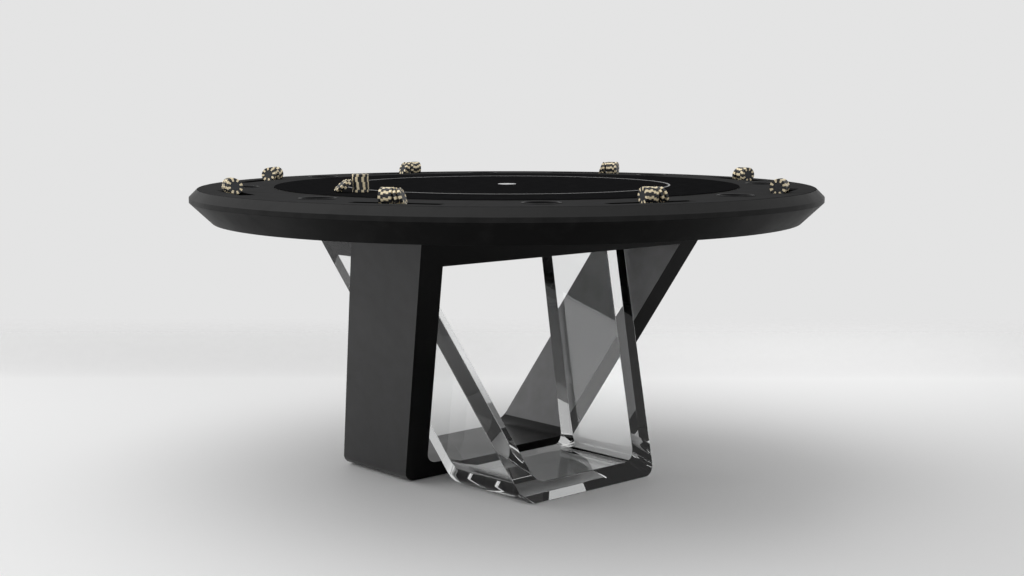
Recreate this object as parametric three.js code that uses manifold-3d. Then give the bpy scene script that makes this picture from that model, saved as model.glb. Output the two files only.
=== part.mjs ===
// Round eight-seat poker table: a bevelled top with a cloth playing surface, cup holders and
// chip grooves, carried by two trapezoid frames, one lacquered and one clear, that lean opposite
// ways and pass through each other. Millimetres, +Z up, origin on the floor under the middle.
// +X runs along both frames, and the lacquered frame leans from +Y at the floor to -Y at the top.
import * as THREE from 'three';
import { mergeVertices } from 'three/addons/utils/BufferGeometryUtils.js';
import Module from 'manifold-3d';

const wasm = await Module();
wasm.setup();

// ---- Driving dimensions ----
const GAP = 0.3;                    // clearance kept between pieces that touch
const TABLE_HEIGHT = 762;           // floor to rail surface
const TOP_RADIUS = 822;             // widest part of the rim
const RAIL_RADIUS = 800;            // where the flat rail ends and the upper bevel starts
const UNDERSIDE_RADIUS = 766;       // lower edge of the lower bevel
const UNDERSIDE_Z = 676;
const BAND_LOW_Z = 729;             // the rim's upright band lies between the two bevels
const BAND_HIGH_Z = 741;
const PLAY_RADIUS = 607;            // cloth playing surface
const CLOTH_RISE = 3;               // cloth surface above the rail surface
const CLOTH_THICKNESS = 2;
const DECK_LOW_Z = 684;
const DECK_HIGH_Z = 722;
const DECK_RADIUS = 632;
const BEARER_RADIUS = 758;          // outer edge of the blocks under the rail panels
const BEARER_CLEARANCE = 2;         // between those blocks and the deck and rim beside them
const RAIL_CLEARANCE = 1;           // between the rail panels and the rim around them
const PLAY_CLEARANCE = 0.5;         // either side of the seam around the playing surface
const ROUND_SEGMENTS = 72;

const SEATS = 8;
const SEAT_TURN = 19.2;             // degrees from +X to the middle of the first seat
const SEAT_PITCH = 360 / SEATS;
const CUP_OFFSET = -9.9;            // degrees from a seat's middle
const GROOVE_OFFSET = 9.5;

const CUP_CIRCLE_RADIUS = 690;
const CUP_RADIUS = 40;
const CUP_FLANGE_RADIUS = 45;
const CUP_WALL = 1.5;
const CUP_DEPTH = 70;
const CUP_HOLE_CLEARANCE = 1.5;
const CUP_FLANGE_HEIGHT = 1.6;
const CUP_SEGMENTS = 24;

const GROOVE_CIRCLE_RADIUS = 730;   // to the middle of a groove
const GROOVE_LENGTH = 218;
const GROOVE_PROFILE_RADIUS = 34;
const GROOVE_DEPTH = 6;
const GROOVE_SIDES = 48;            // of the full cylinder that the groove is cut by

const LINE_RADIUS = 426;            // betting line
const LINE_WIDTH = 5;
const INLAY_THICKNESS = 0.5;
const MEDALLION_RADIUS = 24;
const MEDALLION_SEGMENTS = 24;

const CHIP_RADIUS = 20;
const CHIP_THICKNESS = 6.2;
const CHIP_SIDES = 14;
const UPRIGHT_CHIPS = 5;            // chips that stand in line in each groove
const SLUMP_ANGLE = 20;             // degrees from upright of the chips that lean on a line
const SLUMP_YAW = 7;                // extra turn of the outermost chip
// Each row's place along its groove, from the middle.
const ROW_SHIFTS = [-75, -19, -68, -28, -6, 8, -79, -23];
const STACK_CHIPS = 7;
const STACK_X = -491;
const STACK_Y = -18;
const JOIN_OVERLAP = 0.4;           // chips in one row bite into each other by this much
const LEAN_ANGLE = 42;              // degrees from flat of the chips that lean on the stack
const LEAN_HEADING = -22;           // direction from those chips to the stack

const FRAME_WIDTH = 271;            // along Y, the same at every height
const FRAME_FOOT_Y = 191;           // frame's middle at the floor
const FRAME_HEAD_Y = 143;           // and under the top, on the other side
const LEG_SPREAD = 205;             // how far a leg leans out over its height
const OUTER_FOOT_HALF = 306;        // half length of the lacquered frame at the floor
const INNER_FOOT_HALF = 230;        // half length of the clear frame at the floor
const LEG_THICKNESS = 69.5;         // measured level
const HEAD_BAR_HEIGHT = 79;
const FOOT_BAR_HEIGHT = 44;
const CORNER_RADIUS = 44;
const LEG_SPLIT_Z = 90;             // where the legs meet the foot piece
const GLIDE_HEIGHT = 2;
const GLIDE_WIDTH = 30;
const GLIDE_LENGTH = 230;
const GLIDE_INSET = 70;

const PLATE_HALF_X = 545;
const PLATE_HALF_Y = 300;
const PLATE_SCREW_INSET_Y = 12;
const PLATE_SCREW_PITCH = 340;      // along X
const HEAD_BAR_BOLT_X = 200;
const BOLT_GRIP = 30;               // bolt length inside the frame it holds
const OVERCUT = 5;                  // how far a cutting tool runs past the face it opens
const SCREW_RADIUS = 3.5;
const SCREW_HEAD_RADIUS = 7;
const SCREW_HEAD_HEIGHT = 3.5;
const SCREW_GRIP = 22;              // screw length inside the wood it holds
const SCREW_SIDES = 8;
const SCREW_ROOM = 1;               // left around a screw's head and past its tip

const clothTop = TABLE_HEIGHT + CLOTH_RISE;
const railLow = DECK_HIGH_Z + GAP;
const plateLow = UNDERSIDE_Z + GAP;
const plateHigh = DECK_LOW_Z - GAP;
const radians = THREE.MathUtils.degToRad;

const lacquer = { color: 0x0d0d0e, roughness: 0.25, metalness: 0 };
const satinBlack = { color: 0x171718, roughness: 0.5, metalness: 0 };
const cloth = { color: 0x101011, roughness: 0.95, metalness: 0 };
const silverLine = { color: 0xb9b9ba, roughness: 0.6, metalness: 0 };
const steel = { color: 0xc6c8ca, roughness: 0.25, metalness: 1 };
const darkSteel = { color: 0x2a2b2d, roughness: 0.5, metalness: 1 };
const board = { color: 0x8a6a45, roughness: 0.8, metalness: 0 };
const clear = { color: 0xe8eef0, roughness: 0.02, metalness: 0, transparent: true, opacity: 0.35 };
const cupBlack = { color: 0x222224, roughness: 0.4, metalness: 1 };
const chipBlack = { color: 0x25262a, roughness: 0.5, metalness: 0 };
const felt = { color: 0x1c1c1c, roughness: 1, metalness: 0 };

const table = new THREE.Group();

function addPiece(parent, name, geometry, finish) {
  const mesh = new THREE.Mesh(geometry, new THREE.MeshStandardMaterial(finish));
  mesh.name = name;
  parent.add(mesh);
  return mesh;
}

// ---- Closed meshes, booleans ----
function signedVolume(geometry) {
  const position = geometry.attributes.position;
  const index = geometry.index;
  const a = new THREE.Vector3();
  const b = new THREE.Vector3();
  const c = new THREE.Vector3();
  let sum = 0;
  for (let i = 0; i < index.count; i += 3) {
    a.fromBufferAttribute(position, index.getX(i));
    b.fromBufferAttribute(position, index.getX(i + 1));
    c.fromBufferAttribute(position, index.getX(i + 2));
    sum += a.dot(b.cross(c)) / 6;
  }
  return sum;
}

// Merges shared vertices, drops collapsed triangles and turns every face outwards.
function closed(source) {
  const bare = new THREE.BufferGeometry();
  bare.setAttribute('position', source.attributes.position.clone());
  if (source.index) bare.setIndex(source.index.clone());
  const merged = mergeVertices(bare, 1e-3);
  const flip = signedVolume(merged) < 0;
  const kept = [];
  for (let i = 0; i < merged.index.count; i += 3) {
    const [p, q, r] = [0, 1, 2].map((k) => merged.index.getX(i + k));
    if (p === q || q === r || r === p) continue;
    kept.push(p, ...(flip ? [r, q] : [q, r]));
  }
  merged.setIndex(kept);
  return merged;
}

function toSolid(geometry) {
  const mesh = closed(geometry);
  const vertProperties = new Float32Array(mesh.attributes.position.array);
  const triVerts = new Uint32Array(mesh.index.array);
  return new wasm.Manifold(new wasm.Mesh({ numProp: 3, vertProperties, triVerts }));
}

function fromSolid(solid) {
  const mesh = solid.getMesh();
  const geometry = new THREE.BufferGeometry();
  geometry.setAttribute('position', new THREE.BufferAttribute(mesh.vertProperties, 3));
  geometry.setIndex(new THREE.BufferAttribute(mesh.triVerts, 1));
  return geometry;
}

function cut(geometry, tools) {
  return fromSolid(tools.reduce((solid, tool) => solid.subtract(toSolid(tool)), toSolid(geometry)));
}

function join(geometries) {
  return fromSolid(geometries.map(toSolid).reduce((solid, next) => solid.add(next)));
}

// ---- Basic shapes ----
function disc(radius, lowZ, highZ, segments = ROUND_SEGMENTS) {
  const geometry = new THREE.CylinderGeometry(radius, radius, highZ - lowZ, segments);
  geometry.rotateX(Math.PI / 2);
  geometry.translate(0, 0, (lowZ + highZ) / 2);
  return closed(geometry);
}

function turned(profile, segments = ROUND_SEGMENTS) {
  const points = profile.map(([radius, z]) => new THREE.Vector2(radius, z));
  const geometry = new THREE.LatheGeometry(points, segments);
  geometry.rotateX(Math.PI / 2);
  return closed(geometry);
}

function ringSector(inner, outer, halfAngle, lowZ, highZ) {
  const shape = new THREE.Shape();
  shape.absarc(0, 0, outer, -halfAngle, halfAngle, false);
  shape.absarc(0, 0, inner, halfAngle, -halfAngle, true);
  const geometry = new THREE.ExtrudeGeometry(shape, {
    depth: highZ - lowZ, bevelEnabled: false, curveSegments: ROUND_SEGMENTS / SEATS,
  });
  geometry.translate(0, 0, lowZ);
  return closed(geometry);
}

function onCircle(radius, degrees) {
  return [radius * Math.cos(radians(degrees)), radius * Math.sin(radians(degrees))];
}

// ---- Fasteners ----
// A screw that points up, its head against the surface at headTop.
function screw(headTop, tipZ) {
  return join([
    disc(SCREW_HEAD_RADIUS, headTop - SCREW_HEAD_HEIGHT, headTop, SCREW_SIDES),
    disc(SCREW_RADIUS, headTop - SCREW_HEAD_HEIGHT / 2, tipZ, SCREW_SIDES),
  ]);
}

// A bolt that points down, its head on the surface at headBottom.
function bolt(headBottom, tipZ) {
  return join([
    disc(SCREW_HEAD_RADIUS, headBottom, headBottom + SCREW_HEAD_HEIGHT, SCREW_SIDES),
    disc(SCREW_RADIUS, tipZ, headBottom + SCREW_HEAD_HEIGHT / 2, SCREW_SIDES),
  ]);
}

function holeAt(x, y, radius, lowZ, highZ, segments) {
  const hole = disc(radius, lowZ, highZ, segments);
  hole.translate(x, y, 0);
  return hole;
}

function screwHole([x, y], lowZ, highZ) {
  return holeAt(x, y, SCREW_RADIUS + 2 * GAP, lowZ, highZ, SCREW_SIDES);
}

// ---- Tabletop ----
const seatAngles = Array.from({ length: SEATS }, (_, seat) => SEAT_TURN + seat * SEAT_PITCH);

const screwRowY = PLATE_HALF_Y - PLATE_SCREW_INSET_Y;
const plateScrewPlaces = [-1, 1].flatMap((side) =>
  [-1.5, -0.5, 0.5, 1.5].map((step) => [step * PLATE_SCREW_PITCH, side * screwRowY]));
const legTopX = OUTER_FOOT_HALF + LEG_SPREAD - LEG_THICKNESS / 2;
const legBoltPlaces = [[-legTopX, -FRAME_HEAD_Y], [legTopX, -FRAME_HEAD_Y]];
const barBoltPlaces = [[-HEAD_BAR_BOLT_X, -FRAME_HEAD_Y], [HEAD_BAR_BOLT_X, -FRAME_HEAD_Y]];
const boltPlaces = [...legBoltPlaces, ...barBoltPlaces];

function makeRim() {
  const railWall = RAIL_RADIUS + RAIL_CLEARANCE;
  const bearerWall = BEARER_RADIUS + BEARER_CLEARANCE;
  return turned([
    [bearerWall, UNDERSIDE_Z], [UNDERSIDE_RADIUS, UNDERSIDE_Z],
    [TOP_RADIUS, BAND_LOW_Z], [TOP_RADIUS, BAND_HIGH_Z], [railWall, TABLE_HEIGHT],
    [railWall, DECK_HIGH_Z], [bearerWall, DECK_HIGH_Z], [bearerWall, UNDERSIDE_Z],
  ]);
}

function makeDeck() {
  const low = DECK_LOW_Z - OVERCUT;
  const screwHoles = plateScrewPlaces.map((place) =>
    screwHole(place, low, DECK_LOW_Z + SCREW_GRIP + SCREW_ROOM));
  const pocketTop = DECK_LOW_Z + SCREW_HEAD_HEIGHT + SCREW_ROOM;
  const boltPockets = boltPlaces.map(([x, y]) =>
    holeAt(x, y, SCREW_HEAD_RADIUS + SCREW_ROOM, low, pocketTop, SCREW_SIDES));
  const blank = disc(DECK_RADIUS, DECK_LOW_Z, DECK_HIGH_Z);
  return cut(blank, [...screwHoles, ...boltPockets]);
}

// One seat's length of rail with the bearer block under it, the seat's middle along +X. The
// block stands beside the deck and the panel laps over the deck's edge.
function makeRailPanel() {
  const halfAngle = radians(SEAT_PITCH / 2) - GAP / RAIL_RADIUS;
  const inner = PLAY_RADIUS + PLAY_CLEARANCE;
  const bearerInner = DECK_RADIUS + BEARER_CLEARANCE;
  const blank = join([
    ringSector(inner, RAIL_RADIUS, halfAngle, railLow, TABLE_HEIGHT),
    ringSector(bearerInner, BEARER_RADIUS, halfAngle, DECK_LOW_Z, railLow + OVERCUT),
  ]);
  const [cupX, cupY] = onCircle(CUP_CIRCLE_RADIUS, CUP_OFFSET);
  const cupHole = holeAt(
    cupX, cupY, CUP_RADIUS + CUP_HOLE_CLEARANCE,
    DECK_LOW_Z - OVERCUT, TABLE_HEIGHT + OVERCUT, CUP_SEGMENTS);
  const trough = new THREE.CylinderGeometry(
    GROOVE_PROFILE_RADIUS, GROOVE_PROFILE_RADIUS, GROOVE_LENGTH, GROOVE_SIDES);
  trough.translate(GROOVE_CIRCLE_RADIUS, 0, TABLE_HEIGHT - GROOVE_DEPTH + GROOVE_PROFILE_RADIUS);
  trough.rotateZ(radians(GROOVE_OFFSET));
  return cut(blank, [cupHole, trough]);
}

function makeCupHolder() {
  const lip = TABLE_HEIGHT + GAP;
  const top = lip + CUP_FLANGE_HEIGHT;
  const floorZ = TABLE_HEIGHT - CUP_DEPTH;
  const inner = CUP_RADIUS - CUP_WALL;
  const edge = 1;
  return turned([
    [0, floorZ], [CUP_RADIUS - edge, floorZ], [CUP_RADIUS, floorZ + edge], [CUP_RADIUS, lip],
    [CUP_FLANGE_RADIUS, lip], [CUP_FLANGE_RADIUS - edge, top], [inner + edge, top],
    [inner, top - edge], [inner, floorZ + CUP_WALL], [0, floorZ + CUP_WALL],
  ], CUP_SEGMENTS);
}

function makeBettingLine() {
  const low = clothTop + GAP;
  const high = low + INLAY_THICKNESS;
  const inner = LINE_RADIUS - LINE_WIDTH / 2;
  const outer = LINE_RADIUS + LINE_WIDTH / 2;
  return turned([[inner, low], [outer, low], [outer, high], [inner, high], [inner, low]]);
}

addPiece(table, 'rim_ring', makeRim(), lacquer);
addPiece(table, 'deck_board', makeDeck(), board);
const boardTop = clothTop - CLOTH_THICKNESS - GAP;
const playEdge = PLAY_RADIUS - PLAY_CLEARANCE;
addPiece(table, 'playfield_board', disc(playEdge, railLow, boardTop), board);
addPiece(table, 'playing_cloth', disc(playEdge, boardTop + GAP, clothTop), cloth);
addPiece(table, 'betting_line', makeBettingLine(), silverLine);
const inlayLow = clothTop + GAP;
const medallion = disc(
  MEDALLION_RADIUS, inlayLow, inlayLow + 2 * INLAY_THICKNESS, MEDALLION_SEGMENTS);
addPiece(table, 'centre_medallion', medallion, steel);

const panelGeometry = makeRailPanel();
const cupGeometry = makeCupHolder();
seatAngles.forEach((angle, seat) => {
  const panel = addPiece(table, `rail_panel_${seat + 1}`, panelGeometry, satinBlack);
  panel.rotation.z = radians(angle);
  const cup = addPiece(table, `cup_holder_${seat + 1}`, cupGeometry, cupBlack);
  cup.position.set(...onCircle(CUP_CIRCLE_RADIUS, angle + CUP_OFFSET), 0);
});

// ---- Chips ----
function chip() {
  return new THREE.CylinderGeometry(CHIP_RADIUS, CHIP_RADIUS, CHIP_THICKNESS, CHIP_SIDES);
}

// A line of chips on edge along +X, on z = 0, with two more slumped against its end, all joined.
function makeChipRow() {
  const slump = radians(SLUMP_ANGLE);
  const reach = 2 * CHIP_RADIUS * Math.sin(slump);
  const lineLength = UPRIGHT_CHIPS * CHIP_THICKNESS;
  const rowLength = lineLength + reach + 2 * CHIP_THICKNESS / Math.cos(slump);
  const lineEnd = lineLength - rowLength / 2;
  const line = new THREE.CylinderGeometry(CHIP_RADIUS, CHIP_RADIUS, lineLength, CHIP_SIDES);
  line.rotateZ(Math.PI / 2);
  line.translate(lineEnd - lineLength / 2, 0, CHIP_RADIUS);
  const slumped = [0, 1].map((place) => {
    const leaning = chip();
    leaning.rotateZ(Math.PI / 2);
    leaning.rotateY(-slump);
    leaning.rotateZ(radians(place * SLUMP_YAW));
    const footX = lineEnd + reach + place * CHIP_THICKNESS / Math.cos(slump) - JOIN_OVERLAP;
    const middleX = footX - CHIP_RADIUS * Math.sin(slump) + CHIP_THICKNESS / 2 * Math.cos(slump);
    const middleZ = CHIP_RADIUS * Math.cos(slump) + CHIP_THICKNESS / 2 * Math.sin(slump);
    leaning.translate(middleX, 0, middleZ);
    return leaning;
  });
  return join([line, ...slumped]);
}

const rowGeometry = makeChipRow();
seatAngles.forEach((angle, seat) => {
  const row = addPiece(table, `chip_row_${seat + 1}`, rowGeometry, chipBlack);
  const grooveBottom = TABLE_HEIGHT - GROOVE_DEPTH + 2 * GAP;
  row.position.set(...onCircle(GROOVE_CIRCLE_RADIUS, angle + GROOVE_OFFSET), grooveBottom);
  row.rotation.z = radians(angle + GROOVE_OFFSET + 90);
  row.translateX(ROW_SHIFTS[seat]);
});

// A chip that leans towards +X against the stack at the origin, its edge on z = 0. The first
// one touches the stack and each further one lies on the one before.
function makeLeaningChip(place) {
  const lean = radians(LEAN_ANGLE);
  const rise = place * (CHIP_THICKNESS + GAP);
  const geometry = chip();
  geometry.rotateX(Math.PI / 2);
  geometry.translate(-CHIP_RADIUS - rise / Math.tan(lean), 0, CHIP_THICKNESS / 2 + rise);
  geometry.rotateY(-lean);
  geometry.translate(-CHIP_RADIUS - GAP, 0, 2 * CHIP_RADIUS * Math.sin(lean) + GAP);
  return closed(geometry);
}

const stackGeometry = disc(CHIP_RADIUS, GAP, GAP + STACK_CHIPS * CHIP_THICKNESS, CHIP_SIDES);
const stack = addPiece(table, 'chip_stack', stackGeometry, chipBlack);
stack.position.set(STACK_X, STACK_Y, clothTop);
['lower', 'upper'].forEach((name, place) => {
  const leaner = addPiece(table, `leaning_chip_${name}`, makeLeaningChip(place), chipBlack);
  leaner.position.copy(stack.position);
  leaner.rotation.z = radians(LEAN_HEADING);
});

// ---- Frames ----
// Half length of a frame's outside at a height.
function outerHalf(footHalf, z) {
  return footHalf + LEG_SPREAD * z / UNDERSIDE_Z;
}

function innerHalf(footHalf, z) {
  return outerHalf(footHalf, z) - LEG_THICKNESS;
}

// Points of an arc that rounds the corner between two straight edges, each given by a point.
function roundedCorner(before, corner, after, radius, steps = 6) {
  const toBefore = before.clone().sub(corner).normalize();
  const toAfter = after.clone().sub(corner).normalize();
  const halfCorner = Math.acos(toBefore.dot(toAfter)) / 2;
  const middle = toBefore.clone().add(toAfter).normalize();
  const centre = corner.clone().addScaledVector(middle, radius / Math.sin(halfCorner));
  const tangent = radius / Math.tan(halfCorner);
  const start = corner.clone().addScaledVector(toBefore, tangent).sub(centre);
  const end = corner.clone().addScaledVector(toAfter, tangent).sub(centre);
  const turn = Math.atan2(start.cross(end), start.dot(end));
  const points = [];
  for (let i = 0; i <= steps; i += 1) {
    points.push(start.clone().rotateAround(new THREE.Vector2(), turn * i / steps).add(centre));
  }
  return points;
}

// Extrudes an outline drawn in X and height along Y, and leans it over with height.
function leaningPrism(outline, lean, width = FRAME_WIDTH) {
  const geometry = new THREE.ExtrudeGeometry(new THREE.Shape(outline), {
    depth: width, bevelEnabled: false,
  });
  geometry.translate(0, 0, -width / 2);
  geometry.rotateX(Math.PI / 2);
  const slope = (FRAME_FOOT_Y + FRAME_HEAD_Y) / UNDERSIDE_Z;
  const shear = new THREE.Matrix4().set(
    1, 0, 0, 0,
    0, 1, -lean * slope, lean * FRAME_FOOT_Y,
    0, 0, 1, 0,
    0, 0, 0, 1);
  geometry.applyMatrix4(shear);
  return closed(geometry);
}

function makeFootPiece(footHalf, lean) {
  const point = (x, z) => new THREE.Vector2(x, z);
  const outerCorner = point(outerHalf(footHalf, GLIDE_HEIGHT), GLIDE_HEIGHT);
  const outerTop = point(outerHalf(footHalf, LEG_SPLIT_Z), LEG_SPLIT_Z);
  const barTop = GLIDE_HEIGHT + FOOT_BAR_HEIGHT;
  const innerCorner = point(innerHalf(footHalf, barTop), barTop);
  const innerTop = point(innerHalf(footHalf, LEG_SPLIT_Z), LEG_SPLIT_Z);
  const right = [
    ...roundedCorner(point(0, GLIDE_HEIGHT), outerCorner, outerTop, CORNER_RADIUS),
    outerTop, innerTop,
    ...roundedCorner(innerTop, innerCorner, point(0, barTop), CORNER_RADIUS),
  ];
  const left = right.map((p) => point(-p.x, p.y)).reverse();
  return leaningPrism([...right, ...left], lean);
}

function makeLeg(footHalf, lean, side) {
  const low = LEG_SPLIT_Z + GAP;
  return leaningPrism([
    new THREE.Vector2(side * outerHalf(footHalf, low), low),
    new THREE.Vector2(side * outerHalf(footHalf, UNDERSIDE_Z), UNDERSIDE_Z),
    new THREE.Vector2(side * innerHalf(footHalf, UNDERSIDE_Z), UNDERSIDE_Z),
    new THREE.Vector2(side * innerHalf(footHalf, low), low),
  ], lean);
}

function makeHeadBar(footHalf, lean) {
  const low = UNDERSIDE_Z - HEAD_BAR_HEIGHT;
  const lowHalf = innerHalf(footHalf, low) - GAP;
  const highHalf = innerHalf(footHalf, UNDERSIDE_Z) - GAP;
  return leaningPrism([
    new THREE.Vector2(-lowHalf, low), new THREE.Vector2(lowHalf, low),
    new THREE.Vector2(highHalf, UNDERSIDE_Z), new THREE.Vector2(-highHalf, UNDERSIDE_Z),
  ], lean);
}

// The room that the frame leaning this way needs where a bar of the other frame crosses it.
function crossingRoom(lean) {
  const low = UNDERSIDE_Z - 1.5 * HEAD_BAR_HEIGHT;
  const high = UNDERSIDE_Z + OVERCUT;
  return leaningPrism([
    new THREE.Vector2(-TOP_RADIUS, low), new THREE.Vector2(TOP_RADIUS, low),
    new THREE.Vector2(TOP_RADIUS, high), new THREE.Vector2(-TOP_RADIUS, high),
  ], lean, FRAME_WIDTH + 2 * GAP);
}

function makeGlide(footHalf, lean, side) {
  const geometry = new THREE.BoxGeometry(GLIDE_WIDTH, GLIDE_LENGTH, GLIDE_HEIGHT - GAP);
  const x = side * (footHalf - GLIDE_INSET);
  geometry.translate(x, lean * FRAME_FOOT_Y, (GLIDE_HEIGHT - GAP) / 2);
  return closed(geometry);
}

function addFrame(prefix, footHalf, lean, legs, headBar, finish) {
  addPiece(table, `${prefix}_foot`, makeFootPiece(footHalf, lean), finish);
  addPiece(table, `${prefix}_leg_left`, legs[0], finish);
  addPiece(table, `${prefix}_leg_right`, legs[1], finish);
  addPiece(table, `${prefix}_head_bar`, headBar, finish);
  addPiece(table, `${prefix}_glide_left`, makeGlide(footHalf, lean, -1), felt);
  addPiece(table, `${prefix}_glide_right`, makeGlide(footHalf, lean, 1), felt);
}

function boltHole(place) {
  return screwHole(place, UNDERSIDE_Z - BOLT_GRIP - SCREW_ROOM, UNDERSIDE_Z + OVERCUT);
}

const blackLegs = [-1, 1].map((side, place) =>
  cut(makeLeg(OUTER_FOOT_HALF, 1, side), [boltHole(legBoltPlaces[place])]));
const blackHeadBar = cut(
  makeHeadBar(OUTER_FOOT_HALF, 1), [crossingRoom(-1), ...barBoltPlaces.map(boltHole)]);
addFrame('black_frame', OUTER_FOOT_HALF, 1, blackLegs, blackHeadBar, lacquer);

const clearLegs = [-1, 1].map((side) => makeLeg(INNER_FOOT_HALF, -1, side));
const clearHeadBar = makeHeadBar(INNER_FOOT_HALF, -1);
addFrame('clear_frame', INNER_FOOT_HALF, -1, clearLegs, clearHeadBar, clear);

// ---- Plate that joins both frames to the deck ----
const plateBlank = new THREE.BoxGeometry(2 * PLATE_HALF_X, 2 * PLATE_HALF_Y, plateHigh - plateLow);
plateBlank.translate(0, 0, (plateLow + plateHigh) / 2);
const plateHoles = [...plateScrewPlaces, ...boltPlaces].map((place) =>
  screwHole(place, plateLow - OVERCUT, plateHigh + OVERCUT));
addPiece(table, 'mounting_plate', cut(plateBlank, plateHoles), darkSteel);

function addFasteners(prefix, geometry, places) {
  places.forEach(([x, y], place) => {
    const fastener = addPiece(table, `${prefix}_${place + 1}`, geometry, darkSteel);
    fastener.position.set(x, y, 0);
  });
}

addFasteners('plate_screw', screw(plateLow - GAP, DECK_LOW_Z + SCREW_GRIP), plateScrewPlaces);
addFasteners('frame_bolt', bolt(plateHigh + GAP, UNDERSIDE_Z - BOLT_GRIP), boltPlaces);

export default table;
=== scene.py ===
import math
import random

import bmesh
import bpy
from mathutils import Matrix, Vector


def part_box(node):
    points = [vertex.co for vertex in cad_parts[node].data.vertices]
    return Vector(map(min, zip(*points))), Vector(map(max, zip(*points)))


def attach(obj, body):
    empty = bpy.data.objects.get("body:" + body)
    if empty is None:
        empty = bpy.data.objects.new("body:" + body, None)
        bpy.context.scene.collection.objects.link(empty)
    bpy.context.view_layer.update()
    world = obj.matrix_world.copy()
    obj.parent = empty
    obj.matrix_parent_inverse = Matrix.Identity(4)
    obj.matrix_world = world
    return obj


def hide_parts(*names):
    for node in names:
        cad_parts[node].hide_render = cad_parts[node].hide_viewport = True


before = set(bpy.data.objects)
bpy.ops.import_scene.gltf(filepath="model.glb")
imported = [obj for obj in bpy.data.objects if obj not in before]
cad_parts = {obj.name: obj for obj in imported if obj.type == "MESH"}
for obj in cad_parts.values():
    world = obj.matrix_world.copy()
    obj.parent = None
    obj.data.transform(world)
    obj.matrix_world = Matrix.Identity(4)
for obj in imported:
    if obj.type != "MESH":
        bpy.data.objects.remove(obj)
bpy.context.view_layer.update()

# Round eight-seat poker table: lacquered top with cloth, cups and chip grooves, on one black and
# one clear trapezoid frame. Metres, +Z up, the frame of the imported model.

# ---- Driving sizes ----
MM = 0.001
GAP = 0.3 * MM
SEATS = 8
SEAT_TURN = 19.2                       # degrees from +X to the middle of the first seat
SEAT_PITCH = 360 / SEATS
CUP_OFFSET = -9.9                      # degrees from a seat's middle
GROOVE_OFFSET = 9.5

TOP_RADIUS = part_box("rim_ring")[1].x
UNDERSIDE_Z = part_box("rim_ring")[0].z
TABLE_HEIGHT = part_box("rim_ring")[1].z
RAIL_RADIUS = 800 * MM
RAIL_CLEARANCE = 1 * MM
UNDERSIDE_RADIUS = 766 * MM
BAND_LOW_Z = 729 * MM
BAND_HIGH_Z = 741 * MM

DECK_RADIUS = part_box("deck_board")[1].x
DECK_LOW_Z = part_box("deck_board")[0].z
DECK_HIGH_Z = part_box("deck_board")[1].z
BEARER_RADIUS = 758 * MM                 # outer edge of the blocks under the rail panels
BEARER_CLEARANCE = 2 * MM
PLAY_RADIUS = 607 * MM
PLAY_CLEARANCE = 0.5 * MM
CLOTH_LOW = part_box("playing_cloth")[0].z
CLOTH_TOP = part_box("playing_cloth")[1].z

CUP_CIRCLE_RADIUS = 690 * MM
CUP_RADIUS = 40 * MM
CUP_FLANGE_RADIUS = 45 * MM
CUP_WALL = 1.5 * MM
CUP_DEPTH = 70 * MM
CUP_HOLE_RADIUS = 41.5 * MM
CUP_FLANGE_HEIGHT = 1.6 * MM

GROOVE_CIRCLE_RADIUS = 730 * MM
GROOVE_LENGTH = 218 * MM
GROOVE_PROFILE_RADIUS = 34 * MM
GROOVE_DEPTH = 6 * MM

LINE_RADIUS = 426 * MM
LINE_WIDTH = 5 * MM

CHIP_RADIUS = 20 * MM
CHIP_THICKNESS = 6.2 * MM
CHIP_SPOTS = 8
SPOT_SHARE = 0.4                       # of the edge that the light spots cover
SPIN_SPREAD = 0.2                      # radians, how unevenly a group's spots line up
UPRIGHT_CHIPS = 5
SLUMP_ANGLE = 20
SLUMP_YAW = 7
ROW_SHIFTS = [-75, -19, -68, -28, -6, 8, -79, -23]     # millimetres along each groove
STACK_CHIPS = 7
LEAN_ANGLE = 42
LEAN_HEADING = -22

FRAME_WIDTH = 271 * MM
FRAME_FOOT_Y = 191 * MM
FRAME_HEAD_Y = 143 * MM
LEG_SPREAD = 205 * MM
OUTER_FOOT_HALF = 306 * MM
INNER_FOOT_HALF = 230 * MM
LEG_THICKNESS = 69.5 * MM
HEAD_BAR_HEIGHT = 79 * MM
FOOT_BAR_HEIGHT = 44 * MM
GLIDE_HEIGHT = 2 * MM
CORNER_RADIUS = 44 * MM
BOLTS = 4
SCREWS = 8

random.seed(8)


def on_circle(radius, degrees):
    return Vector((radius * math.cos(math.radians(degrees)), radius * math.sin(math.radians(degrees)), 0))


# ---- Mesh tools ----
def link(name, mesh, materials):
    obj = bpy.data.objects.new(name, mesh)
    bpy.context.scene.collection.objects.link(obj)
    for material in materials:
        mesh.materials.append(material)
    return obj


def from_bmesh(name, bm, materials):
    bmesh.ops.recalc_face_normals(bm, faces=bm.faces)
    mesh = bpy.data.meshes.new(name)
    bm.to_mesh(mesh)
    bm.free()
    return link(name, mesh, materials)


def apply_modifiers(obj):
    """Replaces an object's mesh by what its modifiers make of it."""
    bpy.context.view_layer.update()
    evaluated = obj.evaluated_get(bpy.context.evaluated_depsgraph_get())
    mesh = bpy.data.meshes.new_from_object(evaluated)
    obj.modifiers.clear()
    obj.data = mesh
    return obj


def stand_in(piece, body, nodes):
    """Lets a piece ride on a body in place of CAD nodes."""
    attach(piece, body)
    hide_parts(*nodes)


def copy_of(piece, index, name):
    """The piece itself for the first place, and a copy that shares its mesh for each further one."""
    copy = piece if index == 0 else piece.copy()
    copy.name = name
    if index:
        bpy.context.scene.collection.objects.link(copy)
    return copy


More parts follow.
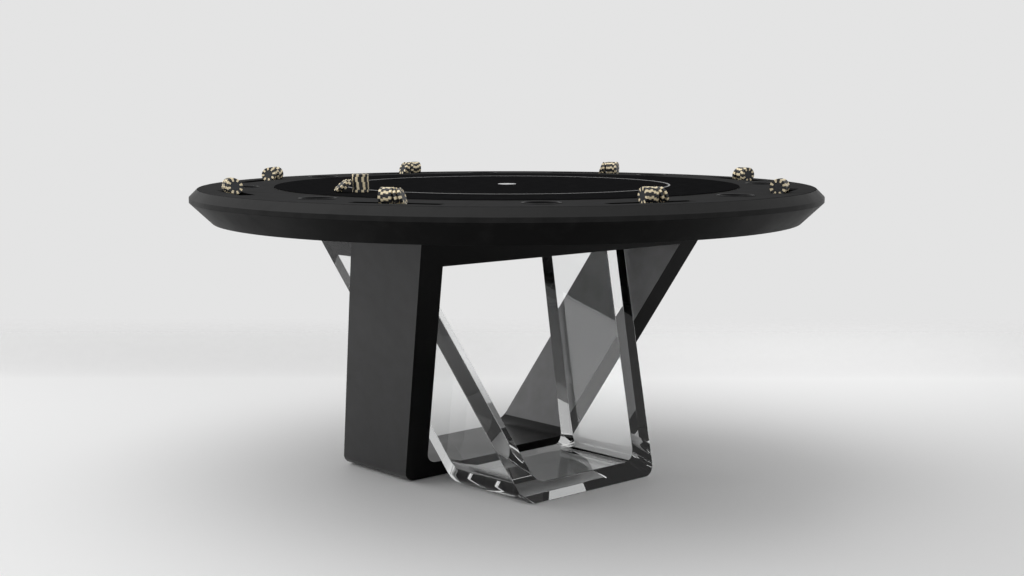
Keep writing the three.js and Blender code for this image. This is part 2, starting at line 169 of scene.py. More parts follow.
def cut(obj, cutters):
    for cutter in cutters:
        modifier = obj.modifiers.new("cut", "BOOLEAN")
        modifier.object = cutter
        modifier.operation = "DIFFERENCE"
        modifier.solver = "EXACT"
    apply_modifiers(obj)
    for cutter in cutters:
        bpy.data.objects.remove(cutter)
    return obj


def soften(obj, width, angle=30, segments=3):
    """Rounds the sharp edges and shades the mesh so that its flat faces stay flat."""
    modifier = obj.modifiers.new("soften", "BEVEL")
    modifier.width = width
    modifier.segments = segments
    modifier.limit_method = "ANGLE"
    modifier.angle_limit = math.radians(angle)
    modifier.miter_outer = "MITER_ARC"
    return finish_surface(apply_modifiers(obj))


def finish_surface(obj, sharp_angle=40):
    obj.data.shade_smooth()
    obj.data.set_sharp_from_angle(angle=math.radians(sharp_angle))
    normals = obj.modifiers.new("flat faces", "WEIGHTED_NORMAL")
    normals.keep_sharp = True
    return obj


def rounded_outline(corners, closed=True):
    """Points of an outline whose corners (x, y, radius) are rounded by arcs."""
    points = []
    count = len(corners)
    for i, (x, y, radius) in enumerate(corners):
        corner = Vector((x, y))
        if radius == 0 or (not closed and i in (0, count - 1)):
            points.append(corner)
            continue
        to_before = (Vector(corners[i - 1][:2]) - corner).normalized()
        to_after = (Vector(corners[(i + 1) % count][:2]) - corner).normalized()
        half = to_before.angle(to_after) / 2
        centre = corner + (to_before + to_after).normalized() * radius / math.sin(half)
        start = corner + to_before * radius / math.tan(half) - centre
        end = corner + to_after * radius / math.tan(half) - centre
        turn = math.atan2(start.x * end.y - start.y * end.x, start.dot(end))
        steps = max(2, round(abs(turn) / math.radians(90) * arc_steps(radius)))
        for step in range(steps + 1):
            points.append(centre + Matrix.Rotation(turn * step / steps, 2) @ start)
    return points


def arc_steps(radius):
    """Steps in a quarter turn: few on a small edge radius, many on a large corner."""
    return 4 if radius < 4 * MM else 24


def lathe(name, profile, segments, materials):
    """Turns an outline of (radius, z) points about Z. Points on the axis become one vertex."""
    bm = bmesh.new()
    rings = []
    for radius, z in profile:
        if radius < 1e-7:
            rings.append([bm.verts.new((0, 0, z))])
            continue
        steps = (2 * math.pi * k / segments for k in range(segments))
        rings.append([bm.verts.new((radius * math.cos(a), radius * math.sin(a), z)) for a in steps])
    on_axis = len(rings[0]) == 1 and len(rings[-1]) == 1
    pairs = zip(rings[:-1], rings[1:]) if on_axis else zip(rings, rings[1:] + rings[:1])
    for lower, upper in pairs:
        for k in range(segments):
            after = (k + 1) % segments
            if len(lower) == 1:
                bm.faces.new((lower[0], upper[k], upper[after]))
            elif len(upper) == 1:
                bm.faces.new((lower[k], lower[after], upper[0]))
            else:
                bm.faces.new((lower[k], lower[after], upper[after], upper[k]))
    return from_bmesh(name, bm, materials)


def prism(name, outline, low, high, materials=()):
    """Extrudes a closed outline in X and Y between two heights."""
    bm = bmesh.new()
    bottom = [bm.verts.new((p[0], p[1], low)) for p in outline]
    top = [bm.verts.new((p[0], p[1], high)) for p in outline]
    bm.faces.new(bottom)
    bm.faces.new(top)
    for k in range(len(outline)):
        after = (k + 1) % len(outline)
        bm.faces.new((bottom[k], bottom[after], top[after], top[k]))
    return from_bmesh(name, bm, materials)


def circle(radius, segments, centre=(0, 0)):
    steps = (2 * math.pi * k / segments for k in range(segments))
    return [(centre[0] + radius * math.cos(a), centre[1] + radius * math.sin(a)) for a in steps]


# ---- Material tools ----
class Nodes:
    """A material's Principled shader and the procedural nodes that feed it."""

    def __init__(self, name, colour, roughness, metallic=0.0):
        self.material = bpy.data.materials.new(name)
        self.material.use_nodes = True
        self.tree = self.material.node_tree
        self.shader = self.tree.nodes["Principled BSDF"]
        self.set(base_color=(*colour, 1), roughness=roughness, metallic=metallic)
        self.position = self.tree.nodes.new("ShaderNodeTexCoord").outputs["Object"]

    def set(self, **values):
        for name, value in values.items():
            self.shader.inputs[SOCKETS[name]].default_value = value

    def add(self, kind, **inputs):
        node = self.tree.nodes.new("ShaderNode" + kind)
        for name, value in inputs.items():
            socket = node.inputs[name]
            if isinstance(value, bpy.types.NodeSocket):
                self.tree.links.new(value, socket)
            else:
                socket.default_value = value
        return node

    def stretched(self, scale):
        node = self.add("Mapping", Vector=self.position)
        node.inputs["Scale"].default_value = scale
        return node.outputs["Vector"]

    def noise(self, scale, detail=2.0, vector=None):
        node = self.add("TexNoise", Vector=vector or self.position, Scale=scale, Detail=detail)
        return node.outputs["Fac"]

    def spread(self, value, low, high, from_low=0.3, from_high=0.7):
        """Maps a value's usual range to another range."""
        node = self.add("MapRange", Value=value)
        node.inputs["From Min"].default_value = from_low
        node.inputs["From Max"].default_value = from_high
        node.inputs["To Min"].default_value = low
        node.inputs["To Max"].default_value = high
        return node.outputs["Result"]

    def math(self, operation, a, b):
        node = self.tree.nodes.new("ShaderNodeMath")
        node.operation = operation
        for socket, value in zip(node.inputs, (a, b)):
            if isinstance(value, bpy.types.NodeSocket):
                self.tree.links.new(value, socket)
            else:
                socket.default_value = value
        return node.outputs["Value"]

    def colours(self, value, low, high):
        node = self.add("ValToRGB", Fac=value)
        ramp = node.color_ramp
        ramp.elements[0].color = (*low, 1)
        ramp.elements[1].color = (*high, 1)
        ramp.elements[0].position = 0.3
        ramp.elements[1].position = 0.7
        self.tree.links.new(node.outputs["Color"], self.shader.inputs["Base Color"])

    def roughness(self, value):
        self.tree.links.new(value, self.shader.inputs["Roughness"])

    def bump(self, height, distance, strength=1.0):
        node = self.add("Bump", Height=height, Distance=distance, Strength=strength)
        self.tree.links.new(node.outputs["Normal"], self.shader.inputs["Normal"])


SOCKETS = {
    "base_color": "Base Color", "roughness": "Roughness", "metallic": "Metallic",
    "specular": "Specular IOR Level", "coat": "Coat Weight", "coat_roughness": "Coat Roughness",
    "transmission": "Transmission Weight", "ior": "IOR", "sheen": "Sheen Weight",
    "sheen_roughness": "Sheen Roughness",
}


def black_lacquer(name, low, high, tone, specular):
    """Sprayed lacquer: a faint orange peel, slow changes of gloss and slightly uneven black."""
    nodes = Nodes(name, (tone, tone, tone), (low + high) / 2)
    nodes.set(specular=specular)
    nodes.roughness(nodes.spread(nodes.noise(9.0, 4.0), low, high))
    nodes.colours(nodes.noise(26.0, 6.0), (0.93 * tone,) * 3, (1.06 * tone,) * 2 + (1.08 * tone,))
    nodes.bump(nodes.noise(420.0, 1.0), 0.02 * MM)
    return nodes.material


def facing_lacquer(name, below, above, turn, specular, low, high):
    """Black lacquer with a base colour that is paler where it faces up and deeper where it faces
    down. The tones stand for light that the lamps here don't give, not for a real finish."""
    nodes = Nodes(name, ((below + above) / 2,) * 3, (low + high) / 2)
    nodes.set(specular=specular)
    nodes.roughness(nodes.spread(nodes.noise(9.0, 4.0), low, high))
    normal = nodes.tree.nodes.new("ShaderNodeNewGeometry").outputs["Normal"]
    upwards = nodes.add("SeparateXYZ", Vector=normal).outputs["Z"]
    mottle = nodes.spread(nodes.noise(26.0, 6.0), -0.04, 0.04)
    facing = nodes.math("ADD", nodes.spread(upwards, 0.3, 0.7, -turn, turn), mottle)
    nodes.colours(facing, (below,) * 3, (above,) * 3)
    nodes.bump(nodes.noise(420.0, 1.0), 0.02 * MM)
    return nodes.material


def speed_cloth():
    """Tight black weave with a soft nap."""
    nodes = Nodes("speed_cloth", (0.009, 0.009, 0.0095), 0.95)
    nodes.set(specular=0.0)
    warp = nodes.add("TexWave", Vector=nodes.position, Scale=420.0, Distortion=0.6)
    warp.bands_direction = "X"
    weft = nodes.add("TexWave", Vector=nodes.position, Scale=420.0, Distortion=0.6)
    weft.bands_direction = "Y"
    weave = nodes.math("MAXIMUM", warp.outputs["Fac"], weft.outputs["Fac"])
    nap = nodes.noise(900.0, 2.0)
    nodes.bump(nodes.math("ADD", weave, nap), 0.12 * MM)
    nodes.colours(nodes.noise(30.0, 5.0), (0.0075, 0.0075, 0.008), (0.0105, 0.0105, 0.011))
    return nodes.material


def printed_line():
    """Silver-grey ink that the weave shows through."""
    nodes = Nodes("printed_line", (0.2, 0.2, 0.2), 0.4)
    nodes.colours(nodes.noise(650.0, 2.0), (0.16, 0.16, 0.16), (0.24, 0.24, 0.24))
    nodes.bump(nodes.noise(900.0, 2.0), 0.08 * MM)
    return nodes.material


def polished_steel():
    """Spun stainless steel with fine turned rings and faint wipe marks."""
    nodes = Nodes("polished_steel", (0.62, 0.62, 0.63), 0.2, metallic=1.0)
    nodes.roughness(nodes.spread(nodes.noise(60.0, 4.0), 0.14, 0.26))
    around = nodes.noise(2600.0, 1.0, nodes.stretched((0.02, 0.02, 1.0)))
    nodes.bump(around, 0.01 * MM)
    return nodes.material


def black_anodising():
    """Satin black anodised aluminium with faint turned rings."""
    nodes = Nodes("black_anodising", (0.016, 0.016, 0.0165), 0.5)
    nodes.set(specular=0.1)
    nodes.roughness(nodes.spread(nodes.noise(70.0, 4.0), 0.44, 0.58))
    nodes.bump(nodes.noise(1800.0, 1.0, nodes.stretched((0.02, 0.02, 1.0))), 0.01 * MM)
    return nodes.material


def black_oxide(name):
    nodes = Nodes(name, (0.03, 0.03, 0.032), 0.45, metallic=0.9)
    nodes.roughness(nodes.spread(nodes.noise(45.0, 5.0), 0.36, 0.56))
    nodes.colours(nodes.noise(18.0, 5.0), (0.022, 0.022, 0.024), (0.042, 0.041, 0.042))
    nodes.bump(nodes.noise(900.0, 2.0), 0.02 * MM)
    return nodes.material


def stained_plywood(name):
    """Black-stained face veneer with long grain along X."""
    nodes = Nodes(name, (0.02, 0.019, 0.018), 0.6)
    grain = nodes.noise(60.0, 8.0, nodes.stretched((0.12, 2.5, 1.0)))
    nodes.colours(grain, (0.012, 0.011, 0.0105), (0.034, 0.031, 0.028))
    nodes.bump(grain, 0.15 * MM)
    return nodes.material


def clear_acrylic():
    """Flame-polished cast acrylic, almost without colour."""
    nodes = Nodes("clear_acrylic", (0.985, 0.993, 0.992), 0.0)
    nodes.set(transmission=1.0, ior=1.45, specular=0.15)
    return nodes.material


def chip_clay(name, dark, light, grain_depth):
    nodes = Nodes(name, dark, 0.5)
    grain = nodes.noise(700.0, 4.0)
    nodes.colours(grain, dark, light)
    nodes.roughness(nodes.spread(nodes.noise(160.0, 3.0), 0.42, 0.6))
    nodes.bump(grain, grain_depth)
    return nodes.material


def felt():
    nodes = Nodes("felt", (0.02, 0.02, 0.02), 1.0)
    nodes.set(specular=0.1, sheen=0.3)
    fibres = nodes.noise(1400.0, 5.0)
    nodes.colours(fibres, (0.012, 0.012, 0.012), (0.04, 0.04, 0.04))
    nodes.bump(fibres, 0.25 * MM)
    return nodes.material


rim_material = facing_lacquer("rim_lacquer", 0.002, 0.03, 0.4, 0.05, 0.4, 0.5)
rail_lacquer = black_lacquer("rail_lacquer", 0.44, 0.54, 0.037, 0.0)
frame_lacquer = black_lacquer("frame_lacquer", 0.28, 0.38, 0.012, 0.3)
# Painted light: the next two are the frame's one black lacquer, made paler where its sides face -X and
# palest where these sides also look up.
lacquer_painted_light_outer_leg = black_lacquer("lacquer_painted_light_outer_leg", 0.35, 0.45, 0.046, 0.1)
lacquer_painted_light_inner_leg = black_lacquer("lacquer_painted_light_inner_leg", 0.35, 0.45, 0.22, 0.1)
# Darker than the rail around it, for the shade in the groove.
groove_lacquer = black_lacquer("groove_lacquer", 0.4, 0.5, 0.002, 0.0)
# Painted shade: the frame's one lacquer, deepened to the blackest tone for its edges.
lacquer_painted_shade_edge = black_lacquer("lacquer_painted_shade_edge", 0.4, 0.5, 0.0015, 0.08)
cloth_material = speed_cloth()
line_material = printed_line()
steel_material = polished_steel()
cup_material = black_anodising()
oxide_material = black_oxide("black_oxide")
wood_material = stained_plywood("stained_plywood")
acrylic_material = clear_acrylic()
chip_dark = chip_clay("chip_dark", (0.014, 0.015, 0.017), (0.03, 0.031, 0.034), 0.03 * MM)
chip_light = chip_clay("chip_light", (0.84, 0.7, 0.45), (0.95, 0.84, 0.6), 0.03 * MM)
chip_face = chip_clay("chip_face", (0.012, 0.013, 0.015), (0.042, 0.045, 0.05), 0.02 * MM)
felt_material = felt()


# ---- Tabletop ----
def make_rim():
    rail_wall = RAIL_RADIUS + RAIL_CLEARANCE
    bearer_wall = BEARER_RADIUS + BEARER_CLEARANCE
    edge = 1.2 * MM
    profile = rounded_outline([
        (bearer_wall, UNDERSIDE_Z, edge), (UNDERSIDE_RADIUS, UNDERSIDE_Z, edge),
        (TOP_RADIUS, BAND_LOW_Z, edge), (TOP_RADIUS, BAND_HIGH_Z, edge),
        (rail_wall, TABLE_HEIGHT, edge / 2), (rail_wall, DECK_HIGH_Z, 0),
        (bearer_wall, DECK_HIGH_Z, 0),
    ])
    rim = finish_surface(lathe("rim", profile, 256, [rim_material]))
    return rim, "rim_ring", "black_lacquer"


def make_deck():
    edge = 1.5 * MM
    profile = rounded_outline([
        (0, DECK_LOW_Z, 0), (DECK_RADIUS, DECK_LOW_Z, edge),
        (DECK_RADIUS, DECK_HIGH_Z, edge), (0, DECK_HIGH_Z, 0),
    ], closed=False)
    deck = lathe("deck", profile, 192, [wood_material])
    return finish_surface(deck), "deck_board", "deck_wood"


def seat_outline(inner, outer):
    """One seat's share of a ring, its middle along +X."""
    half = math.radians(SEAT_PITCH / 2) - GAP / RAIL_RADIUS
    steps = 40
    angles = [-half + 2 * half * k / steps for k in range(steps + 1)]
    outside = [(outer * math.cos(a), outer * math.sin(a)) for a in angles]
    inside = [(inner * math.cos(a), inner * math.sin(a)) for a in reversed(angles)]
    return outside + inside


def make_cup_hole():
    outline = circle(CUP_HOLE_RADIUS, 96, on_circle(CUP_CIRCLE_RADIUS, CUP_OFFSET))
    return prism("hole", outline, DECK_LOW_Z - 5 * MM, TABLE_HEIGHT + 5 * MM)


def make_groove_cutter():
    """A lying round bar, a little longer than it is wide at the rail, with softly rounded ends."""
    end = 3 * MM
    half = GROOVE_LENGTH / 2
    profile = rounded_outline([
        (0, -half, 0), (GROOVE_PROFILE_RADIUS, -half, end),
        (GROOVE_PROFILE_RADIUS, half, end), (0, half, 0),
    ], closed=False)
    cutter = lathe("groove", profile, 160, [])
    turn = Matrix.Rotation(math.radians(GROOVE_OFFSET), 4, "Z")
    across = Matrix.Rotation(math.pi / 2, 4, "X")
    height = TABLE_HEIGHT - GROOVE_DEPTH + GROOVE_PROFILE_RADIUS
    move = Matrix.Translation((GROOVE_CIRCLE_RADIUS, 0, height))
    cutter.data.transform(turn @ move @ across)
    return cutter


def make_rail_panels():
    """Each seat has a lacquered panel and, under it, a plywood block that the cup hangs in."""
    low = DECK_HIGH_Z + GAP
    inner = PLAY_RADIUS + PLAY_CLEARANCE
    lacquers = [rail_lacquer, groove_lacquer]
    panel = prism("rail_panel", seat_outline(inner, RAIL_RADIUS), low, TABLE_HEIGHT, lacquers)
    soften(cut(panel, [make_cup_hole(), make_groove_cutter()]), 0.5 * MM, angle=20, segments=2)
    for face in panel.data.polygons:
        in_groove = TABLE_HEIGHT - 1.1 * GROOVE_DEPTH < face.center.z < TABLE_HEIGHT - 0.3 * MM
        face.material_index = 1 if in_groove and face.normal.z > 0.3 else 0
    block_outline = seat_outline(DECK_RADIUS + BEARER_CLEARANCE, BEARER_RADIUS)
    block = prism("bearer", block_outline, DECK_LOW_Z, low, [wood_material])
    soften(cut(block, [make_cup_hole()]), 0.8 * MM, angle=40, segments=2)
    for part, slot in ((panel, "satin_black_rail"), (block, "deck_wood")):
        base_name = part.name
        for seat in range(SEATS):
            copy = copy_of(part, seat, f"{base_name}_piece_{seat + 1}")
            copy.rotation_euler.z = math.radians(SEAT_TURN + seat * SEAT_PITCH)
            stand_in(copy, "table", [f"rail_panel_{seat + 1}"])


def make_cups():
    lip = TABLE_HEIGHT + GAP
    top = lip + CUP_FLANGE_HEIGHT
    floor = TABLE_HEIGHT - CUP_DEPTH
    inner = CUP_RADIUS - CUP_WALL
    profile = rounded_outline([
        (0, floor, 0), (CUP_RADIUS, floor, 3 * MM), (CUP_RADIUS, lip, 0),
        (CUP_FLANGE_RADIUS, lip, 0), (CUP_FLANGE_RADIUS - 0.3 * MM, top, 0.9 * MM),
        (inner, top, 1.3 * MM), (inner, floor + CUP_WALL, 3.5 * MM), (0, floor + CUP_WALL, 0),
    ], closed=False)
    cup = finish_surface(lathe("cup", profile, 96, [cup_material]))
    for seat in range(SEATS):
        copy = copy_of(cup, seat, f"cup_{seat + 1}")
        copy.location = on_circle(CUP_CIRCLE_RADIUS, SEAT_TURN + seat * SEAT_PITCH + CUP_OFFSET)
        holder = f"cup_holder_{seat + 1}"
        stand_in(copy, holder, [holder])


def make_playfield():
    edge = PLAY_RADIUS - PLAY_CLEARANCE
    profile = rounded_outline([
        (0, CLOTH_LOW, 0), (edge, CLOTH_LOW, 0), (edge, CLOTH_TOP, 1.4 * MM),
        (LINE_RADIUS, CLOTH_TOP, 0), (0, CLOTH_TOP, 0),
    ], closed=False)
    cloth = finish_surface(lathe("cloth", profile, 224, [cloth_material]))
    low = CLOTH_TOP + 0.05 * MM
    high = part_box("betting_line")[1].z
    line_profile = rounded_outline([
        (LINE_RADIUS - LINE_WIDTH / 2, low, 0), (LINE_RADIUS + LINE_WIDTH / 2, low, 0),
        (LINE_RADIUS + LINE_WIDTH / 2, high, 0.3 * MM), (LINE_RADIUS - LINE_WIDTH / 2, high, 0.3 * MM),
    ])
    line = finish_surface(lathe("line", line_profile, 224, [line_material]))
    medallion_low, medallion_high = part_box("centre_medallion")
    radius = medallion_high.x
    recess = 0.25 * MM
    medallion_profile = rounded_outline([
        (0, medallion_low.z, 0), (radius, medallion_low.z, 0),
        (radius, medallion_high.z, 0.4 * MM), (0.86 * radius, medallion_high.z, 0.1 * MM),
        (0.84 * radius, medallion_high.z - recess, 0.1 * MM),
        (0.8 * radius, medallion_high.z - recess, 0.1 * MM),
        (0.78 * radius, medallion_high.z, 0.1 * MM), (0, medallion_high.z, 0),
    ], closed=False)
    medallion = finish_surface(lathe("medallion", medallion_profile, 96, [steel_material]))
    return [
        (cloth, "playing_cloth", "playing_cloth"),
        (line, "betting_line", "silver_line"),
        (medallion, "centre_medallion", "polished_steel"),
    ]


# ---- Chips ----
def chip_mesh():
    """One chip on z = 0, its edge spots and face in their own materials."""
    half_face = 0.52 * CHIP_RADIUS
    recess = 0.25 * MM
    edge = 0.7 * MM
    top = CHIP_THICKNESS
    spot_reach = 0.6 * CHIP_RADIUS
    profile = rounded_outline([
        (0, 0, 0), (half_face - recess, 0, 0), (half_face, recess, 0), (half_face + recess, 0, 0),
        (spot_reach, 0, 0), (CHIP_RADIUS, 0, edge), (CHIP_RADIUS, top, edge),
        (spot_reach, top, 0), (half_face + recess, top, 0), (half_face, top - recess, 0),
        (half_face - recess, top, 0), (0, top, 0),
    ], closed=False)
    segments = 96
    chip = lathe("chip", profile, segments, [chip_dark, chip_light, chip_face])
    for face in chip.data.polygons:
        centre = face.center
        radius = math.hypot(centre.x, centre.y)
        turn = math.atan2(centre.y, centre.x) / (2 * math.pi) * CHIP_SPOTS % 1
        if radius > spot_reach and turn < SPOT_SHARE:
            face.material_index = 1
        elif radius < half_face:
            face.material_index = 2
    mesh = chip.data
    bpy.data.objects.remove(chip)
    return mesh


def chip_group(name, mesh, places, body, nodes, at):
    """Chips at several places as one piece that rides on a body."""
    bm = bmesh.new()
    facing = random.uniform(0, 2 * math.pi)
    for place in places:
        spin = Matrix.Rotation(facing + random.uniform(-SPIN_SPREAD, SPIN_SPREAD), 4, "Z")
        copy = mesh.copy()
        copy.transform(at @ place @ spin)
        bm.from_mesh(copy)
        bpy.data.meshes.remove(copy)
    joined = bpy.data.meshes.new(name)
    bm.to_mesh(joined)
    bm.free()
    group = finish_surface(link(name, joined, [chip_dark, chip_light, chip_face]), sharp_angle=30)
    stand_in(group, body, nodes)


def row_places():
    """Chips on edge along +X on z = 0, and two slumped against the line's end."""
    slump = math.radians(SLUMP_ANGLE)
    reach = 2 * CHIP_RADIUS * math.sin(slump)
    pitch = CHIP_THICKNESS
    row_length = UPRIGHT_CHIPS * pitch + reach + 2 * pitch / math.cos(slump)
    start = -row_length / 2
    on_edge = Matrix.Rotation(math.pi / 2, 4, "Y")
    places = []
    for k in range(UPRIGHT_CHIPS):
        wobble = Matrix.Rotation(math.radians(random.uniform(-0.6, 0.6)), 4, "Z")
        place = Matrix.Translation((start + k * pitch, 0, CHIP_RADIUS))
        places.append(place @ wobble @ on_edge)
    line_end = start + UPRIGHT_CHIPS * pitch
    yaw_room = 0
    for k in range(2):
        yaw = math.radians(k * SLUMP_YAW)
        yaw_room += CHIP_RADIUS * math.sin(yaw)
        foot = line_end + reach + k * pitch / math.cos(slump) + yaw_room
        place = Matrix.Translation((foot, 0, 0)) @ Matrix.Rotation(yaw, 4, "Z")
        lean = Matrix.Rotation(-slump, 4, "Y")
        places.append(place @ lean @ Matrix.Translation((0, 0, CHIP_RADIUS)) @ on_edge)
    return places


def make_chips():
    mesh = chip_mesh()
    bottom = TABLE_HEIGHT - GROOVE_DEPTH + 2 * GAP
    for seat in range(SEATS):
        angle = SEAT_TURN + seat * SEAT_PITCH + GROOVE_OFFSET
        place = on_circle(GROOVE_CIRCLE_RADIUS, angle) + Vector((0, 0, bottom))
        along = Matrix.Translation((ROW_SHIFTS[seat] * MM, 0, 0))
        at = Matrix.Translation(place) @ Matrix.Rotation(math.radians(angle + 90), 4, "Z") @ along
        name = f"chip_row_{seat + 1}"
        chip_group(f"chips_in_groove_{seat + 1}", mesh, row_places(), name, [name], at)
    low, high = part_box("chip_stack")
    stack_place = Vector(((low.x + high.x) / 2, (low.y + high.y) / 2, low.z))
    places = []
    for k in range(STACK_CHIPS):
        slip = (random.uniform(-0.4, 0.4) * MM, random.uniform(-0.4, 0.4) * MM)
        places.append(Matrix.Translation((*slip, k * CHIP_THICKNESS)))
    at = Matrix.Translation(stack_place)
    chip_group("stacked_chips", mesh, places, "chip_stack", ["chip_stack"], at)
    turn = Matrix.Rotation(math.radians(LEAN_HEADING), 4, "Z")
    at = Matrix.Translation(stack_place) @ turn
    leaners = ["leaning_chip_lower", "leaning_chip_upper"]
    chip_group("leaning_chips_pair", mesh, leaning_places(), "leaning_chips", leaners, at)


def leaning_places():
    """Two chips that lean towards +X against a stack at the origin."""
    lean = math.radians(LEAN_ANGLE)
    places = []
    for k in range(2):
        rise = k * (CHIP_THICKNESS + GAP)
        lying = Matrix.Translation((-CHIP_RADIUS - rise / math.tan(lean), 0, rise))
        head = Matrix.Translation((-CHIP_RADIUS - 2 * GAP, 0, 2 * CHIP_RADIUS * math.sin(lean) + GAP))
        places.append(head @ Matrix.Rotation(-lean, 4, "Y") @ lying)
    return places


# ---- Frames ----
def outer_half(foot_half, z):
    return foot_half + LEG_SPREAD * z / UNDERSIDE_Z


def inner_half(foot_half, z):
    return outer_half(foot_half, z) - LEG_THICKNESS


def frame_middle_y(lean, z):
    return lean * (FRAME_FOOT_Y - (FRAME_FOOT_Y + FRAME_HEAD_Y) * z / UNDERSIDE_Z)


def leaning_ring(name, outer, inner, lean, materials):
    """A closed band between two outlines in X and Z, as wide as a frame and leaning with height."""
    bm = bmesh.new()
    loops = []
    for outline in (outer, inner):
        for side in (-1, 1):
            loop = []
            for x, z in outline:
                y = frame_middle_y(lean, z) + side * FRAME_WIDTH / 2
                loop.append(bm.verts.new((x, y, z)))
            loops.append(loop)
    outer_front, outer_back, inner_front, inner_back = loops
    for a, b in (
        (outer_front, outer_back), (outer_back, inner_back),
        (inner_back, inner_front), (inner_front, outer_front),
    ):
        for k in range(len(outer)):
            after = (k + 1) % len(outer)
            bm.faces.new((a[k], a[after], b[after], b[k]))
    return from_bmesh(name, bm, materials)


def frame_outlines(foot_half):
    low, bar_top = GLIDE_HEIGHT, GLIDE_HEIGHT + FOOT_BAR_HEIGHT
    high, bar_low = UNDERSIDE_Z, UNDERSIDE_Z - HEAD_BAR_HEIGHT
    out_low, out_high = outer_half(foot_half, low), outer_half(foot_half, high)
    in_low, in_high = inner_half(foot_half, bar_top), inner_half(foot_half, bar_low)
    outer = rounded_outline([
        (-out_low, low, CORNER_RADIUS), (out_low, low, CORNER_RADIUS),
        (out_high, high, 0), (-out_high, high, 0),
    ])
    inner = rounded_outline([
        (-in_low, bar_top, CORNER_RADIUS), (in_low, bar_top, CORNER_RADIUS),
        (in_high, bar_low, 0), (-in_high, bar_low, 0),
    ])
    return outer, inner


def crossing_cutter():
    """The clear frame's room where it passes through the black head bar."""
    low, high = UNDERSIDE_Z - 1.1 * HEAD_BAR_HEIGHT, UNDERSIDE_Z + 5 * MM
    half_width = FRAME_WIDTH / 2 + GAP
    bm = bmesh.new()
    ends = []
    for side in (-1, 1):
        corners = []
        for x_sign, z in ((-1, low), (1, low), (1, high), (-1, high)):
            x = x_sign * (inner_half(OUTER_FOOT_HALF, z) + 0.2 * MM)
            y = frame_middle_y(-1, z) + side * half_width
            corners.append(bm.verts.new((x, y, z)))
        ends.append(corners)
        bm.faces.new(corners)
    for k in range(4):
        after = (k + 1) % 4
        bm.faces.new((ends[0][k], ends[0][after], ends[1][after], ends[1][k]))
    return from_bmesh("crossing", bm, [])


def frame_nodes(prefix):
    return [f"{prefix}_{part}" for part in ("foot", "leg_left", "leg_right", "head_bar")]


def frame_lacquer_index(normal):
    """Edges are deepest black and sides that face -X paler, most of all where they look up. The
    tones stand for light that the lamps here don't give: the real frame has one lacquer."""
    if abs(normal.y) > 0.7:
        return 1
    if normal.x > -0.8:
        return 0
    return 3 if normal.z > 0 else 2


def make_frames():
    outlines = frame_outlines(OUTER_FOOT_HALF)
    lacquers = [frame_lacquer, lacquer_painted_shade_edge, lacquer_painted_light_outer_leg, lacquer_painted_light_inner_leg]
    black = leaning_ring("black_loop", *outlines, 1, lacquers)
    cut(black, [crossing_cutter()])
    soften(black, 1.6 * MM, angle=30)
    for face in black.data.polygons:
        face.material_index = frame_lacquer_index(face.normal)
    clear = leaning_ring("clear_loop", *frame_outlines(INNER_FOOT_HALF), -1, [acrylic_material])
    soften(clear, 1.6 * MM, angle=30)
    stand_in(black, "table", frame_nodes("black_frame"))
    stand_in(clear, "table", frame_nodes("clear_frame"))


def make_glides():
    for prefix in ("black_frame", "clear_frame"):
        for side in ("left", "right"):
            node = f"{prefix}_glide_{side}"
            low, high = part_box(node)
            outline = rounded_outline([
                (low.x, low.y, 8 * MM), (high.x, low.y, 8 * MM),
                (high.x, high.y, 8 * MM), (low.x, high.y, 8 * MM),
            ])
            pad = soften(prism(f"{node}_pad", outline, low.z, high.z, [felt_material]), 0.5 * MM, angle=60)
            stand_in(pad, "table", [node])


# ---- Fasteners ----
def make_screws():
    """Pan-head screws with a hexagon socket, under the mounting plate."""
    low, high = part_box("plate_screw_1")
    head_radius = (high.y - low.y) / 2
    head_height = 3.5 * MM
    shank_radius = 3.5 * MM
    socket_radius = 2.9 * MM
    profile = rounded_outline([
        (0, low.z, 0), (head_radius, low.z, 1.8 * MM), (head_radius, low.z + head_height, 0.3 * MM),
        (shank_radius, low.z + head_height, 0), (shank_radius, high.z - 3 * MM, 0), (0, high.z, 0),
    ], closed=False)
    screw = lathe("screw", profile, 48, [oxide_material])
    socket = prism("socket", circle(socket_radius, 6), low.z - 1 * MM, low.z + 2.2 * MM)
    cut(screw, [socket])
    finish_surface(screw)
    for k in range(SCREWS):
        node = f"plate_screw_{k + 1}"
        node_low, node_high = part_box(node)
        copy = copy_of(screw, k, f"{node}_piece")
        copy.location = ((node_low.x + node_high.x) / 2, (node_low.y + node_high.y) / 2, 0)
        stand_in(copy, "table", [node])


def finish_cad_nodes():
    """Materials of the CAD nodes that stay."""
    kept = {"playfield_board": wood_material, "mounting_plate": oxide_material}
    kept.update({f"frame_bolt_{k + 1}": oxide_material for k in range(BOLTS)})
    for node, material in kept.items():
        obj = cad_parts[node]
        obj.data.materials.clear()
        obj.data.materials.append(material)


for piece, node, slot in [make_rim(), make_deck(), *make_playfield()]:
    stand_in(piece, "table", [node])
make_rail_panels()
make_cups()
make_chips()
make_frames()
make_glides()
make_screws()
finish_cad_nodes()


# ---- Stage ----
CAMERA_PLACE = (-2.6322, -2.9289, 0.9840)
CAMERA_TILT = math.radians(82.833)     # up from straight down
CAMERA_HEADING = math.radians(42.14)   # from +Y towards +X
CAMERA_LENS = 52.41                    # millimetres, on a sensor 36 mm wide
AWAY = Vector((math.sin(CAMERA_HEADING), math.cos(CAMERA_HEADING), 0))   # from the camera
BACKDROP = 0.775                       # radiance of the lit backdrop
AMBIENT = 0.55                         # and of the room above it
BACKDROP_TOP = 0.09                    # height, as a direction's Z, where the backdrop starts to dim
ROOM_LOW = 0.4                         # and where only the room is left
FLOOR_TONE = 0.825
FLOOR_RADIUS = 9.0
FADE_START = 1.3                       # behind the middle, where the floor starts to melt away
FADE_END = 2.8


